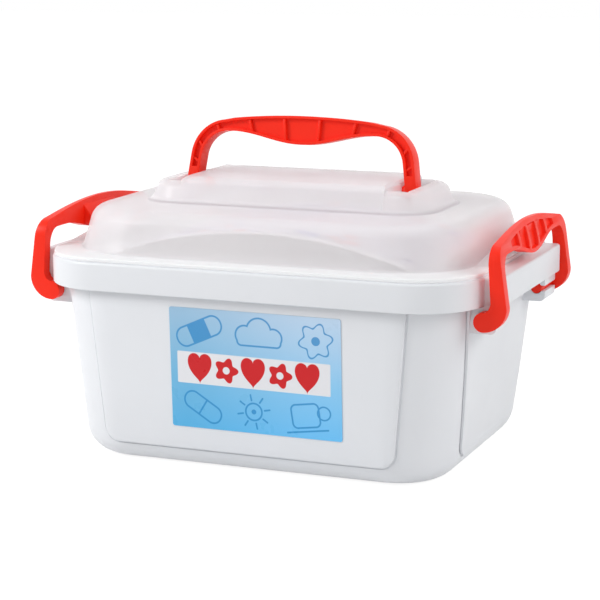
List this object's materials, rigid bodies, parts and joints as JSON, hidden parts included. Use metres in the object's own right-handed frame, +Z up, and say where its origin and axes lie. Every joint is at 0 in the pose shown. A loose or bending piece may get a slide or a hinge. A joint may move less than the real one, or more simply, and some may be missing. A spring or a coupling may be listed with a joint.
{
  "type": "toy doctor case",
  "caption": "Toy doctor case: plastic clip box with a domed see-through lid, a fold-down carry handle, swinging end clips and loose toy instruments inside.",
  "frame": {"origin": "middle of the flat underside, between the two clips and the front and back walls", "axes": "+Z up, the label faces -Y, the clips are at -X and +X and the handle runs along X"},
  "size_m": [0.261, 0.1704, 0.1744],
  "materials": {
    "tub_plastic": "white, opaque, softly shiny moulded plastic",
    "label_print": "printed coated paper",
    "lid_plastic": "milky see-through moulded plastic",
    "red_plastic": "shiny moulded plastic",
    "leaflet_paper": "coated paper with small coloured print",
    "tinted_plastic": "see-through tinted plastic",
    "seal_rubber": "matt rubber",
    "white_plastic": "shiny moulded plastic",
    "blue_plastic": "shiny moulded plastic",
    "grey_plastic": "satin moulded plastic"
  },
  "bodies": {
    "case": {"tub": "tub_plastic", "front_label": "label_print", "leaflet": "leaflet_paper", "syringe_barrel": "tinted_plastic", "thermometer": "white_plastic", "hammer_handle": "blue_plastic", "hammer_head": "red_plastic", "bottle": "tinted_plastic", "bottle_cap": "white_plastic", "otoscope_body": "blue_plastic", "otoscope_cone": "grey_plastic"},
    "lid": {"lid": "lid_plastic"},
    "handle": {"carry_handle": "red_plastic"},
    "left_clip": {"left_clip": "red_plastic"},
    "right_clip": {"right_clip": "red_plastic"},
    "plunger": {"syringe_plunger": "red_plastic", "plunger_seal": "seal_rubber"}
  },
  "joints": [
    {"name": "lid_lift", "type": "slide", "parent": "case", "child": "lid", "axis": [0, 0, 1], "range_m": [0, 0.06]},
    {"name": "right_clip_swing", "type": "hinge", "parent": "case", "child": "right_clip", "pos_m": [0.1187, 0, 0.0843], "axis": [0, 1, 0], "range_deg": [0, 137.6]},
    {"name": "left_clip_swing", "type": "hinge", "parent": "case", "child": "left_clip", "pos_m": [-0.1187, 0, 0.0843], "axis": [0, -1, 0], "range_deg": [0, 137.6]},
    {"name": "handle_fold", "type": "hinge", "parent": "lid", "child": "handle", "pos_m": [0, 0, 0.1373], "axis": [1, 0, 0], "range_deg": [-49, 63]},
    {"name": "plunger_slide", "type": "slide", "parent": "case", "child": "plunger", "axis": [1, 0, 0], "range_m": [0, 0.03]}
  ],
  "couplings": [
    {"joint": "right_clip_swing", "follows": "lid_lift", "rad_per_m": 40},
    {"joint": "left_clip_swing", "follows": "lid_lift", "rad_per_m": 40}
  ]
}
